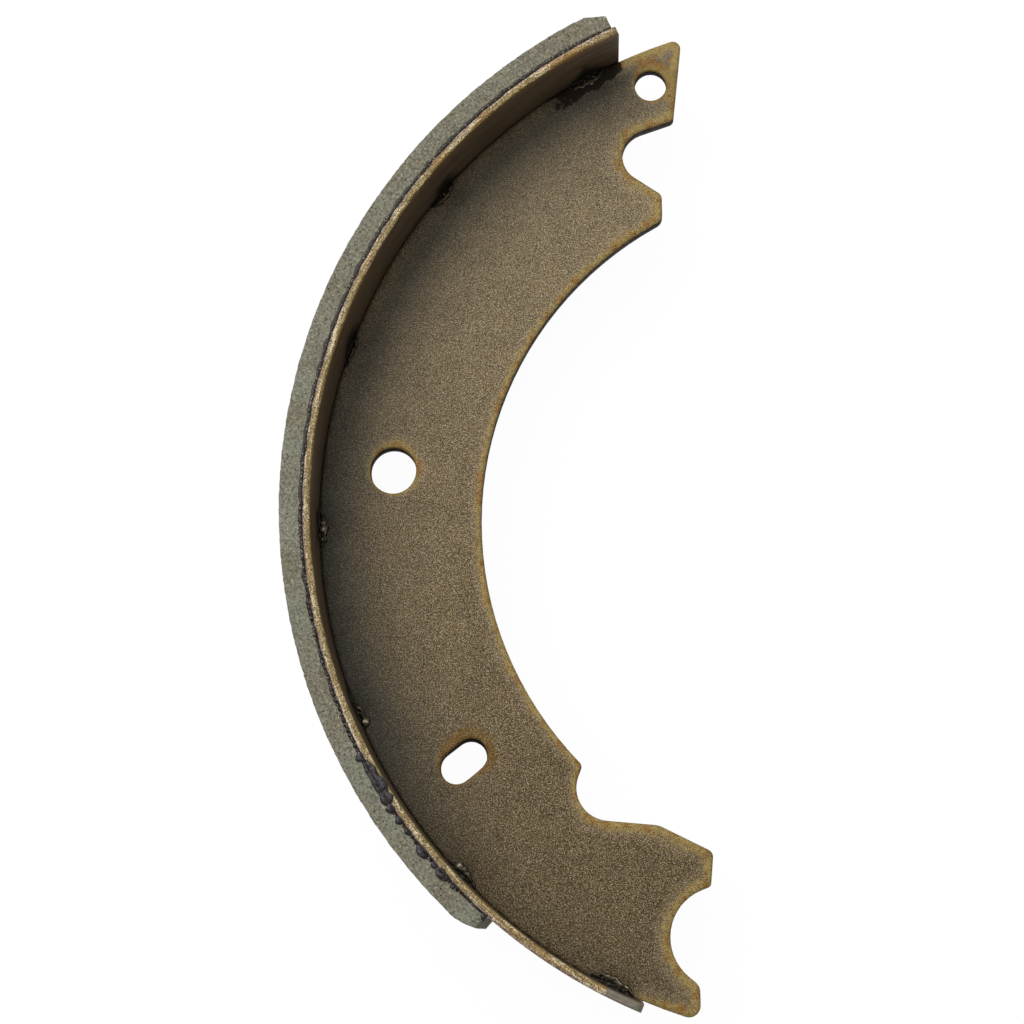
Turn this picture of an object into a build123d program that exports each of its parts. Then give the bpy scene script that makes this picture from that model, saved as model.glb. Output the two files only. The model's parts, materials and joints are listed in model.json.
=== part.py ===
"""A bonded drum brake shoe, for a drum of 12 inch bore and a lining 2 inches wide.

A stamped web stands on edge inside a rolled rim, and seven resistance welds join the two.
The friction lining is bonded to the outside of the rim. The shoe lies on the side edge of
its rim, with the drum's axis upright.

The pieces are drawn about the drum's axis, with the middle of the rim towards -X and the
adjuster end towards +Y. An angle on the shoe is counted from the middle of the rim, up
towards the adjuster end. At the end all pieces move together, so that the origin is below
the middle of the whole shoe, on the surface that it lies on.
"""

import os
from math import cos, degrees, radians, sin, sqrt

from build123d import *

# Drum and lining
drum_bore_r = 152.4
shoe_clearance = 0.2  # lining to drum, when the shoe is centred
lining_thickness = 5.95
lining_margin = 0.4  # how far each side edge of the lining lies inside the rim's
lining_arc = 114.0  # degrees
lining_setback = 0.5  # degrees, from the adjuster end of the rim to the lining
adjuster_chamfer_run = 5.6  # along the friction face
adjuster_chamfer_depth = 2.4
anchor_chamfer_run = 4.6
anchor_chamfer_depth = 1.8

# Adhesive between the lining and the rim, with a bead squeezed out along both side edges
bond_thickness = 0.25
bead_reach = 0.8
bead_height = 0.3

# Rim, a rolled strip
rim_thickness = 2.3
rim_width = 50.8
rim_arc = 133.0  # degrees
rim_edge_round = 0.6
rim_corner_round = 1.6

# Web, a stamped plate
web_thickness = 4.5
web_gap = 0.3  # between the web's edge and the rim, bridged by the welds
web_depth = 44.7  # across the web at the middle of the shoe, out to the bow that clears the axle
bow_shift = 2.05  # how far the centre of the bow lies from the drum's axis, towards the rim
bow_drop = 1.5  # and towards the anchor end
stamped_edge = 0.4  # rolled over all round, on the punch side

# Holes in the web: an angle on the shoe, and a distance in from the web's outer edge
hold_down_angle = 6.8
hold_down_inset = 19.6
hold_down_hole_r = 6.35
spring_hole_angle = 68.7
spring_hole_inset = 10.1
spring_hole_r = 4.5
lever_slot_angle = -32.5
lever_slot_inset = 19.4
lever_slot_r = 4.4
lever_slot_run = 4.9  # between the centres of its two round ends
lever_slot_turn = 4.0  # degrees, from the radial direction

# Adjuster end: a pointed tip, the notch for the adjuster screw, and a tooth below it
tip_margin = 7.4  # from the centre of the spring hole to the end edge
tip_edge_slope = 83.0  # degrees
tip_top_round = 2.2
tip_foot_round = 1.8
adjuster_notch_angle = 64.5
adjuster_notch_margin = 15.9  # less deep than the bow
adjuster_notch_r = 7.6
adjuster_upper_slope = 17.9  # degrees
adjuster_lower_slope = -34.7  # degrees
tooth_reach = 3.2  # past the centre of the adjuster notch
tooth_top_round = 2.4
tooth_foot_round = 3.0

# Anchor end: a hook, a hollow, a finger, the notch for the anchor pin, and the toe
hollow_angle = -48.8
hollow_margin = -0.2  # less deep than the bow
hollow_r = 9.1
hollow_wall_slope = 68.0  # degrees
hollow_floor_slope = -6.1  # degrees
hook_round = 1.4
anchor_notch_angle = -72.6
anchor_notch_offset = 0.55  # further in than halfway across the web
anchor_notch_r = 13.5
anchor_upper_slope = 20.9  # degrees
anchor_lower_slope = -40.1  # degrees
finger_wall = 6.2  # left between the anchor notch and the finger's back
finger_back_slope = -27.3  # degrees
finger_back_round = 6.0
finger_face_setback = 3.5  # from the centre of the anchor notch
finger_face_slope = 84.3  # degrees
finger_top_round = 2.2
finger_foot_round = 1.4
toe_setback = 5.9  # from the centre of the anchor notch
toe_top_round = 3.4
toe_foot_round = 3.2

# Welds
weld_count = 7
weld_setback = 3.8  # degrees, from each end of the rim to the middle of the weld there
weld_length = 9.0
flash_reach = 1.8  # of the flash over the web's face
flash_height = 1.1

# Radii and levels that follow
lining_outer_r = drum_bore_r - shoe_clearance
lining_inner_r = lining_outer_r - lining_thickness
rim_outer_r = lining_inner_r - bond_thickness
rim_inner_r = rim_outer_r - rim_thickness
web_outer_r = rim_inner_r - web_gap
bow_r = web_outer_r - web_depth - bow_shift
lining_width = rim_width - 2 * lining_margin
web_face = web_thickness / 2
upright_slope = 90.0  # degrees
half_turn = 180.0  # degrees

os.makedirs("parts", exist_ok=True)


def at(angle, radius):
    """The point at this angle on the shoe and this distance from the drum's axis."""
    return Vector(-radius * cos(radians(angle)), radius * sin(radians(angle)), 0)


def radial_plane(angle):
    """The plane through the drum's axis at this angle on the shoe, its x pointing outwards."""
    outwards = at(angle, 1)
    return Plane(origin=(0, 0, 0), x_dir=outwards, z_dir=outwards.cross(Vector(0, 0, 1)))


def beside(centre, distance, slope):
    """A point at this distance from a centre, to the right of a line that rises at this slope."""
    return centre + Vector(distance * sin(radians(slope)), -distance * cos(radians(slope)), 0)


def meet(first, first_slope, second, second_slope):
    """Where two lines cross, each given by a point and its slope in degrees."""
    along = Vector(cos(radians(first_slope)), sin(radians(first_slope)), 0)
    across = Vector(-sin(radians(second_slope)), cos(radians(second_slope)), 0)
    return first + along * ((second - first).dot(across) / along.dot(across))


def meet_circle(point, slope, centre, radius):
    """Where a line crosses a circle, at the crossing that lies furthest along the line."""
    along = Vector(cos(radians(slope)), sin(radians(slope)), 0)
    reach = (centre - point).dot(along)
    nearest = point + along * reach
    half_chord = sqrt(radius**2 - (nearest - centre).length ** 2)
    return nearest + along * half_chord


# ---------------------------------------------------------------- web
drum_axis = Vector(0, 0, 0)
bow_centre = Vector(-bow_shift, -bow_drop, 0)
hold_down_centre = at(hold_down_angle, web_outer_r - hold_down_inset)
spring_hole_centre = at(spring_hole_angle, web_outer_r - spring_hole_inset)
lever_slot_centre = at(lever_slot_angle, web_outer_r - lever_slot_inset)
adjuster_centre = at(adjuster_notch_angle, web_outer_r - web_depth + adjuster_notch_margin)
hollow_centre = at(hollow_angle, web_outer_r - web_depth + hollow_margin)
anchor_centre = at(anchor_notch_angle, web_outer_r - web_depth / 2 - anchor_notch_offset)

# One point on each straight edge
tip_edge = beside(spring_hole_centre, tip_margin, tip_edge_slope)
adjuster_upper = beside(adjuster_centre, -adjuster_notch_r, adjuster_upper_slope)
adjuster_lower = beside(adjuster_centre, adjuster_notch_r, adjuster_lower_slope)
tooth_face = beside(adjuster_centre, tooth_reach, upright_slope)
hollow_wall = beside(hollow_centre, -hollow_r, hollow_wall_slope)
hollow_floor = beside(hollow_centre, hollow_r, hollow_floor_slope)
finger_back = beside(anchor_centre, -anchor_notch_r - finger_wall, finger_back_slope)
finger_face = beside(anchor_centre, -finger_face_setback, finger_face_slope)
anchor_upper = beside(anchor_centre, -anchor_notch_r, anchor_upper_slope)
anchor_lower = beside(anchor_centre, anchor_notch_r, anchor_lower_slope)
toe_face = beside(anchor_centre, -toe_setback, upright_slope)

# The corners, in order down the open side from the tip to the toe
tip_top = meet_circle(tip_edge, tip_edge_slope, drum_axis, web_outer_r)
tip_foot = meet(tip_edge, tip_edge_slope, adjuster_upper, adjuster_upper_slope)
adjuster_root = meet(adjuster_upper, adjuster_upper_slope, adjuster_lower, adjuster_lower_slope)
tooth_top = meet(adjuster_lower, adjuster_lower_slope, tooth_face, upright_slope)
tooth_foot = meet_circle(tooth_face, upright_slope, bow_centre, bow_r)
hook = meet_circle(hollow_wall, hollow_wall_slope - half_turn, bow_centre, bow_r)
hollow_root = meet(hollow_wall, hollow_wall_slope, hollow_floor, hollow_floor_slope)
shoulder = meet(hollow_floor, hollow_floor_slope, finger_back, finger_back_slope)
finger_top = meet(finger_back, finger_back_slope, finger_face, finger_face_slope)
finger_foot = meet(finger_face, finger_face_slope, anchor_upper, anchor_upper_slope)
anchor_root = meet(anchor_upper, anchor_upper_slope, anchor_lower, anchor_lower_slope)
toe_top = meet(anchor_lower, anchor_lower_slope, toe_face, upright_slope)
toe_foot = meet_circle(toe_face, upright_slope - half_turn, drum_axis, web_outer_r)
corner_rounds = [
    (tip_top, tip_top_round),
    (tip_foot, tip_foot_round),
    (adjuster_root, adjuster_notch_r),
    (tooth_top, tooth_top_round),
    (tooth_foot, tooth_foot_round),
    (hook, hook_round),
    (hollow_root, hollow_r),
    (shoulder, finger_back_round),
    (finger_top, finger_top_round),
    (finger_foot, finger_foot_round),
    (anchor_root, anchor_notch_r),
    (toe_top, toe_top_round),
    (toe_foot, toe_foot_round),
]

with BuildPart() as web:
    with BuildSketch() as web_profile:
        with BuildLine():
            Polyline(tip_top, tip_foot, adjuster_root, tooth_top, tooth_foot)
            ThreePointArc(tooth_foot, bow_centre - Vector(bow_r, 0, 0), hook)
            Polyline(hook, hollow_root, shoulder, finger_top, finger_foot, anchor_root)
            Polyline(anchor_root, toe_top, toe_foot)
            ThreePointArc(toe_foot, at(0, web_outer_r), tip_top)
        make_face()
        for corner, corner_round in corner_rounds:
            fillet(web_profile.vertices().sort_by_distance(corner)[0], corner_round)
        with Locations(hold_down_centre):
            Circle(hold_down_hole_r, mode=Mode.SUBTRACT)
        with Locations(spring_hole_centre):
            Circle(spring_hole_r, mode=Mode.SUBTRACT)
        with Locations(lever_slot_centre):
            SlotCenterToCenter(
                lever_slot_run,
                2 * lever_slot_r,
                rotation=lever_slot_turn - lever_slot_angle,
                mode=Mode.SUBTRACT,
            )
    extrude(amount=web_face, both=True)
    chamfer(web.faces().sort_by(Axis.Z)[-1].edges(), stamped_edge)

# ---------------------------------------------------------------- rim
rim_half_arc = rim_arc / 2

with BuildPart() as rim:
    with BuildSketch(radial_plane(rim_half_arc)):
        with Locations((rim_inner_r + rim_thickness / 2, 0)):
            Rectangle(rim_thickness, rim_width)
    revolve(axis=Axis.Z, revolution_arc=rim_arc)
    rim_ends = rim.faces().filter_by(GeomType.PLANE).sort_by(Axis.Z)[1:-1]
    rim_corners = rim_ends.edges().filter_by(Axis.Z, reverse=True)
    fillet(rim_corners, rim_corner_round)
    rim_sides = rim.faces().filter_by(Axis.Z)
    fillet(rim_sides.edges(), rim_edge_round)

# ---------------------------------------------------------------- lining
lining_top = rim_half_arc - lining_setback
lining_foot = lining_top - lining_arc
lining_middle = (lining_top + lining_foot) / 2
friction_top = lining_top - degrees(adjuster_chamfer_run / lining_outer_r)
friction_foot = lining_foot + degrees(anchor_chamfer_run / lining_outer_r)

with BuildPart() as lining:
    with BuildSketch():
        with BuildLine():
            ThreePointArc(
                at(lining_top, lining_inner_r),
                at(lining_middle, lining_inner_r),
                at(lining_foot, lining_inner_r),
            )
            Polyline(
                at(lining_foot, lining_inner_r),
                at(lining_foot, lining_outer_r - anchor_chamfer_depth),
                at(friction_foot, lining_outer_r),
            )
            ThreePointArc(
                at(friction_foot, lining_outer_r),
                at(lining_middle, lining_outer_r),
                at(friction_top, lining_outer_r),
            )
            Polyline(
                at(friction_top, lining_outer_r),
                at(lining_top, lining_outer_r - adjuster_chamfer_depth),
                at(lining_top, lining_inner_r),
            )
        make_face()
    extrude(amount=lining_width / 2, both=True)

# ---------------------------------------------------------------- adhesive
lining_side = lining_width / 2

with BuildPart() as bond:
    with BuildSketch(radial_plane(lining_top)) as bond_section:
        with BuildLine():
            Line((rim_outer_r, 0), (rim_outer_r, lining_side + bead_height))
            RadiusArc(
                (rim_outer_r, lining_side + bead_height),
                (lining_inner_r + bead_reach, lining_side),
                2 * bead_reach,
            )
            Polyline(
                (lining_inner_r + bead_reach, lining_side),
                (lining_inner_r, lining_side),
                (lining_inner_r, 0),
                (rim_outer_r, 0),
            )
        make_face()
        mirror(about=Plane.XZ)
    revolve(axis=Axis.Z, revolution_arc=lining_arc)

# ---------------------------------------------------------------- welds
def make_weld(angle):
    """One weld: a thin land across the gap, and flash against the rim on both faces."""
    half_angle = degrees(weld_length / rim_inner_r) / 2
    with BuildPart() as weld:
        with BuildSketch(radial_plane(angle + half_angle)):
            with BuildLine():
                Polyline(
                    (rim_inner_r, 0),
                    (web_outer_r, 0),
                    (web_outer_r, web_face),
                    (rim_inner_r - flash_reach, web_face),
                )
                RadiusArc(
                    (rim_inner_r - flash_reach, web_face),
                    (rim_inner_r, web_face + flash_height),
                    -flash_reach,
                )
                Line((rim_inner_r, web_face + flash_height), (rim_inner_r, 0))
            make_face()
            mirror(about=Plane.XZ)
        revolve(axis=Axis.Z, revolution_arc=2 * half_angle)
    return weld.part


pieces = {"web": web.part, "rim": rim.part, "lining": lining.part, "bond": bond.part}
first_weld = weld_setback - rim_half_arc
weld_pitch = -2 * first_weld / (weld_count - 1)
for count in range(weld_count):
    pieces[f"weld_{count + 1}"] = make_weld(first_weld + count * weld_pitch)

# ---------------------------------------------------------------- the shared frame
shoe_box = Compound(list(pieces.values())).bounding_box()
shoe_middle = shoe_box.center()
to_origin = Location((-shoe_middle.X, -shoe_middle.Y, -shoe_box.min.Z))
for name, piece in pieces.items():
    piece.label = name
    piece.move(to_origin)
    export_step(piece, f"parts/{name}.step")
print(f"{len(pieces)} pieces written")
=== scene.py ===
"""A bonded drum brake shoe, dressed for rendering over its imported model.

The shoe lies on the side edge of its rim. Its pieces are bent about the drum's axis, so most
places here are polar: a distance from that axis, an angle on the shoe counted from the middle
of the rim up towards the adjuster end, and a height above the floor.
"""

import json
from math import atan2, cos, exp, pi, radians, sin, sqrt

import bmesh
import bpy
from mathutils import Matrix, Vector, kdtree, noise


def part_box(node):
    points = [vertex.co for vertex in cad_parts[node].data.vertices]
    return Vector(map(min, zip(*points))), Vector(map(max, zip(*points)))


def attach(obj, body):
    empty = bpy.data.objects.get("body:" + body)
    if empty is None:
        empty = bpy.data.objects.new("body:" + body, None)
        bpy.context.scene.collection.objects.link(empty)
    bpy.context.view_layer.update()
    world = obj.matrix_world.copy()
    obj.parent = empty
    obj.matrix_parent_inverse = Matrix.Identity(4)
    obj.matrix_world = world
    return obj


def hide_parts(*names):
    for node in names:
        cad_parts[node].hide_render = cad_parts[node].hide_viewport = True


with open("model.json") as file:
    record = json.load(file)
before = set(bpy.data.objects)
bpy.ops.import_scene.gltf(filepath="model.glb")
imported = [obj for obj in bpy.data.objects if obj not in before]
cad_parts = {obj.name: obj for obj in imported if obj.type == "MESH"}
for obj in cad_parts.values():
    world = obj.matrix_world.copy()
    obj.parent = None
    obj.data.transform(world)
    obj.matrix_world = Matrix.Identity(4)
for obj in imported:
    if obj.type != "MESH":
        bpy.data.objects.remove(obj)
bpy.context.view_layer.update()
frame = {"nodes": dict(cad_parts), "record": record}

bl_info = {
    "name": "Drum Brake Shoe",
    "version": (1, 0, 0),
    "blender": (4, 5, 0),
    "location": "3D View > Sidebar > Brake Shoe",
    "description": "Dresses a bonded drum brake shoe",
    "category": "Object",
}

MM = 0.001
BODY = "root"


def colour(code):
    """A hex sRGB colour as four linear numbers."""
    channels = [int(code[i : i + 2], 16) / 255 for i in (1, 3, 5)]
    linear = [c / 12.92 if c <= 0.04045 else ((c + 0.055) / 1.055) ** 2.4 for c in channels]
    return (*linear, 1.0)


def length(name, description, default):
    """A length, given in millimetres and kept in metres."""
    return bpy.props.FloatProperty(
        name=name, description=description, default=default * MM, unit="LENGTH"
    )


def turn(name, description, default):
    """An angle, given in degrees and kept in radians."""
    return bpy.props.FloatProperty(
        name=name, description=description, default=radians(default), subtype="ANGLE"
    )


def paint(name, description, code):
    """A colour, given as sRGB hex."""
    return bpy.props.FloatVectorProperty(
        name=name,
        description=description,
        default=colour(code),
        size=4,
        subtype="COLOR",
        min=0,
        max=1,
    )


class ShoeSizes(bpy.types.PropertyGroup):
    """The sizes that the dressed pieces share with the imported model."""

    rim_outer: length("Rim radius", "Outside, from the drum's axis", 146.0)
    rim_thickness: length("Rim thickness", "Of the rolled strip", 2.3)
    rim_arc: turn("Rim arc", "Angle that the rim covers", 133.0)
    rim_round: length("Rim edge round", "Radius of its long edges", 0.6)
    rim_corner: length("Rim corner round", "Radius of its four corners", 1.6)
    web_gap: length("Web gap", "Between the web's edge and the rim", 0.3)
    lining_inner: length("Lining radius", "Inside, from the drum's axis", 146.25)
    lining_thickness: length("Lining thickness", "Away from its chamfered ends", 5.95)
    lining_top: turn("Lining top", "Angle of its upper end", 66.0)
    lining_foot: turn("Lining foot", "Angle of its lower end", -48.0)
    top_chamfer_run: length("Top chamfer run", "Along the friction face", 5.6)
    top_chamfer_depth: length("Top chamfer depth", "Into the lining", 2.4)
    foot_chamfer_run: length("Foot chamfer run", "Along the friction face", 4.6)
    foot_chamfer_depth: length("Foot chamfer depth", "Into the lining", 1.8)
    foot_round: length("Foot round", "Worn corners of its lower end", 1.4)
    weld_setback: turn("Weld setback", "From each end of the rim", 3.8)
    weld_length: length("Weld length", "Of the flash along the rim", 9.0)


class ShoeColours(bpy.types.PropertyGroup):
    """The colours of the finishes under plain light."""

    web: paint("Web", "Scale at the adjuster end", "#7e6e56")
    # A darker, browner tone towards the anchor end
    web_brown: paint("Web brown", "Darker, browner tone towards the anchor end", "#57452c")
    # Painted shade: the darkening of the web near the rim wall, where the wall shades it
    painted_rim_shade: paint("Web rim shade", "Painted shade near the rim wall", "#3a3a35")
    # Painted glints, on the web's grain and on the weld crests
    glint: paint("Glint", "Painted glints in the grain", "#d0c3a4")
    pit: paint("Pit", "Dark pits in the grain", "#2f2313")
    tint_gold: paint("Straw tint", "Heat tint along cut edges", "#a58d50")
    tint_rose: paint("Rose tint", "Fringe of the straw band", "#9a886d")
    tint_rust: paint("Rust tint", "Brown patches in the heat tint", "#966821")
    tint_burnt: paint("Burnt tint", "Darker heat tint round the slot", "#64440c")
    soot: paint("Soot", "Burnt haze round the welds", "#18120b")
    sheared: paint("Sheared wall", "Cut walls of the web", "#5a5254")
    # Painted shade: the walls of the holes, painted near black
    hole_wall_shade: paint("Hole wall shade", "Painted shade on the walls of the holes", "#17120d")
    rim_gold: paint("Rim gold", "Inner half of its side edges", "#937e47")
    rim_grey: paint("Rim grey", "Outer half of its side edges", "#8a7666")
    # Painted glints on the rim's side edges
    rim_glint: paint("Rim glint", "Painted glints on its side edges", "#eddcb8")
    rim_wall: paint("Rim wall", "Rolled faces of the rim", "#72604a")
    bare: paint("Bare steel", "Patch where the finish is missing", "#786f62")
    lining: paint("Lining", "Friction material", "#7d7d6d")
    lining_warm: paint("Lining warm tone", "Warmer areas of the lining", "#787361")
    # Also the colour of the painted glints on the adhesive
    chip: paint("Chip", "Pale chips in the lining", "#b5b096")
    adhesive: paint("Adhesive", "Squeezed-out adhesive", "#1b1310")
    # Greyer skin on the lumps, partly painted sheen on their tops
    adhesive_skin_and_sheen: paint("Adhesive skin and sheen", "Greyer skin and painted sheen on its lumps", "#312d32")
    # Burnt crust; in the welds' hollows it also stands for painted shade
    weld: paint("Weld crust", "Burnt crust of the welds, with painted shade in their hollows", "#1d1712")
    # Paler crests: partly the crust's colour, partly painted highlight on the tops
    weld_crest: paint("Weld crest", "Paler crests of the welds, partly painted highlight", "#776e58")
    floor: paint("Floor", "Studio floor and backdrop", "#ffffff")


class ShoeStage(bpy.types.PropertyGroup):
    """The camera and the light."""

    camera_place: bpy.props.FloatVectorProperty(
        name="Camera place",
        description="Above the shoe",
        default=(0.02866, -0.11408, 0.72863),
        subtype="XYZ",
        unit="LENGTH",
    )
    camera_turn: bpy.props.FloatVectorProperty(
        name="Camera turn",
        description="Tilt about X and Y, then roll",
        default=(radians(9.337), radians(2.126), radians(-1.05)),
        subtype="EULER",
        unit="ROTATION",
    )
    lens: bpy.props.FloatProperty(name="Lens", description="Focal length in mm", default=90.26)
    sky: bpy.props.FloatProperty(name="Sky", description="Light from all round", default=0.27)
    key: bpy.props.FloatProperty(name="Key", description="Power of the soft lamp", default=22.0)
    key_size: length("Key size", "Across the soft lamp", 1700.0)


# ---- places on the shoe
def settings():
    """The sizes, the colours, and the drum's axis at the height of the rim's middle."""
    scene = bpy.context.scene
    low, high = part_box("rim")
    middle = (low + high) / 2
    axis = Vector((low.x + scene.shoe_sizes.rim_outer, middle.y, middle.z))
    return scene.shoe_sizes, scene.shoe_colours, axis


def place(axis, angle, radius, height):
    """The point at this angle on the shoe, this far from the drum's axis and this high."""
    return Vector((axis.x - radius * cos(angle), axis.y + radius * sin(angle), height))


def polar(axis, point):
    """A point's angle on the shoe and its distance from the drum's axis."""
    across, along = axis.x - point.x, point.y - axis.y
    return atan2(along, across), sqrt(across**2 + along**2)


def smooth(value):
    """0 below 0, 1 above 1 and a smooth rise between."""
    value = min(max(value, 0.0), 1.0)
    return value * value * (3 - 2 * value)


def weld_angles(sizes):
    """The angles on the shoe of the seven welds, from the anchor end up."""
    first = sizes.weld_setback - sizes.rim_arc / 2
    return [first * (1 - count / 3) for count in range(7)]


def waver(x, y, z):
    """Smooth noise between -1 and 1."""
    return noise.noise(Vector((x, y, z)))


# ---- making pieces
def to_data(mesh, name):
    """Turns a bmesh into mesh data and frees it."""
    data = bpy.data.meshes.new(name)
    mesh.to_mesh(data)
    mesh.free()
    return data


def new_object(name, data):
    """A new object in the scene."""
    made = bpy.data.objects.new(name, data)
    bpy.context.scene.collection.objects.link(made)
    return made


def finish_piece(mesh, slot, materials, replaced, sharp=40, number=""):
    """Turns a bmesh into a piece that rides on the shoe and stands for the named nodes."""
    data = to_data(mesh, slot + number)
    for material in materials:
        data.materials.append(material)
    data.shade_smooth()
    data.set_sharp_from_angle(angle=radians(sharp))
    piece = new_object(slot + number, data)
    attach(piece, BODY)
    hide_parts(*replaced)


def sweep(mesh, axis, radii, heights, angles, edge_round, steps, along):
    """A bar with a rounded section, bent about the drum's axis.

    radii, heights and angles each give a low and a high bound. steps are the spacings of the
    vertices across and up the section, and along is their spacing on the outside of the bend.
    """
    section = bmesh.ops.create_grid(mesh, x_segments=1, y_segments=1, size=0.5)["verts"]
    width, height = radii[1] - radii[0], heights[1] - heights[0]
    upright = Matrix.Rotation(pi / 2, 4, "X")
    bmesh.ops.scale(mesh, vec=(width, height, 1), verts=section)
    bmesh.ops.transform(mesh, matrix=upright, verts=section)
    middle = Vector(((radii[0] + radii[1]) / 2, 0, (heights[0] + heights[1]) / 2))
    bmesh.ops.translate(mesh, vec=middle, verts=section)
    turned = Matrix.Rotation(pi - angles[1], 3, "Z")
    bmesh.ops.rotate(mesh, matrix=turned, verts=section)
    bmesh.ops.translate(mesh, vec=(axis.x, axis.y, 0), verts=section)
    rounded = bmesh.ops.bevel(
        mesh, geom=section, offset=edge_round, segments=4, profile=0.5, affect="VERTICES"
    )
    loop = dict.fromkeys(edge for vert in rounded["verts"] for edge in vert.link_edges)
    for edge in sorted(loop, key=lambda item: item.calc_length()):
        first, second = (vert.co for vert in edge.verts)
        upright_edge = abs(first.z - second.z) > edge.calc_length() / 2
        cuts = int(edge.calc_length() / steps[1 if upright_edge else 0])
        if cuts:
            bmesh.ops.subdivide_edges(mesh, edges=[edge], cuts=cuts)
    face = next(face for face in mesh.faces if face.is_valid and len(face.verts) > 4)
    outline = list(face.edges)
    bmesh.ops.delete(mesh, geom=[face], context="FACES_ONLY")
    arc = angles[1] - angles[0]
    bmesh.ops.spin(
        mesh,
        geom=outline + list(dict.fromkeys(vert for edge in outline for vert in edge.verts)),
        cent=axis,
        axis=(0, 0, 1),
        angle=arc,
        steps=max(2, int(arc * radii[1] / along)),
    )
    open_edges = [edge for edge in mesh.edges if edge.is_boundary]
    bmesh.ops.holes_fill(mesh, edges=open_edges, sides=0)
    bmesh.ops.recalc_face_normals(mesh, faces=mesh.faces)


def take_in(mesh, part):
    """Adds the second bmesh to the first and frees it."""
    data = to_data(part, "part")
    mesh.from_mesh(data)
    bpy.data.meshes.remove(data)


# ---- making finishes
def add(tree, kind, inputs=(), operation=None, out=None, **settings):
    """Adds a node and gives back the output named by out, or else its first output in use.

    inputs gives sockets, in order or by name or number, a value or another node's output.
    """
    made = tree.nodes.new("ShaderNode" + kind)
    if operation:
        made.operation = operation
    for name, value in settings.items():
        setattr(made, name, value)
    for name, value in inputs.items() if isinstance(inputs, dict) else enumerate(inputs):
        if isinstance(value, bpy.types.NodeSocket):
            tree.links.new(value, made.inputs[name])
        else:
            made.inputs[name].default_value = value
    return made.outputs[out] if out else next(socket for socket in made.outputs if socket.enabled)


def new_finish(name, metallic, roughness, gloss=0.5):
    """A material with an empty tree but for its shader and output, and that tree."""
    material = bpy.data.materials.new(name)
    material.use_nodes = True
    shader = material.node_tree.nodes["Principled BSDF"]
    looks = {"Metallic": metallic, "Roughness": roughness, "Specular IOR Level": gloss}
    for socket, value in looks.items():
        shader.inputs[socket].default_value = value
    return material, material.node_tree


def lay_coats(material, base, coats, height, strength, depth):
    """Lays coats over the base colour, each given by its share and its colour, with bumps this
    strong and this many mm deep where the height rises."""
    tree = material.node_tree
    for share, shade in coats:
        base = add(tree, "Mix", {0: share, 6: base, 7: shade}, data_type="RGBA")
    bump = add(tree, "Bump", {"Height": height, "Strength": strength, "Distance": depth * MM})
    shader = tree.nodes["Principled BSDF"]
    tree.links.new(base, shader.inputs["Base Color"])
    tree.links.new(bump, shader.inputs["Normal"])
    return material


def bent_coordinates(tree, axis, radius):
    """Coordinates that follow the bend: x outwards, y along the arc and z up, in metres."""
    here = add(tree, "TexCoord", out="Object")
    moved = add(tree, "VectorMath", (here, (axis.x, axis.y, 0)), "SUBTRACT")
    x, y, z = add(tree, "SeparateXYZ", (moved,)).node.outputs
    flat = add(tree, "CombineXYZ", (x, y, 0))
    outwards = add(tree, "VectorMath", (flat,), "LENGTH")
    across = add(tree, "Math", (x, -1), "MULTIPLY")
    angle = add(tree, "Math", (y, across), "ARCTAN2")
    arc = add(tree, "Math", (angle, radius), "MULTIPLY")
    return add(tree, "CombineXYZ", (outwards, arc, z)), outwards, arc


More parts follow.
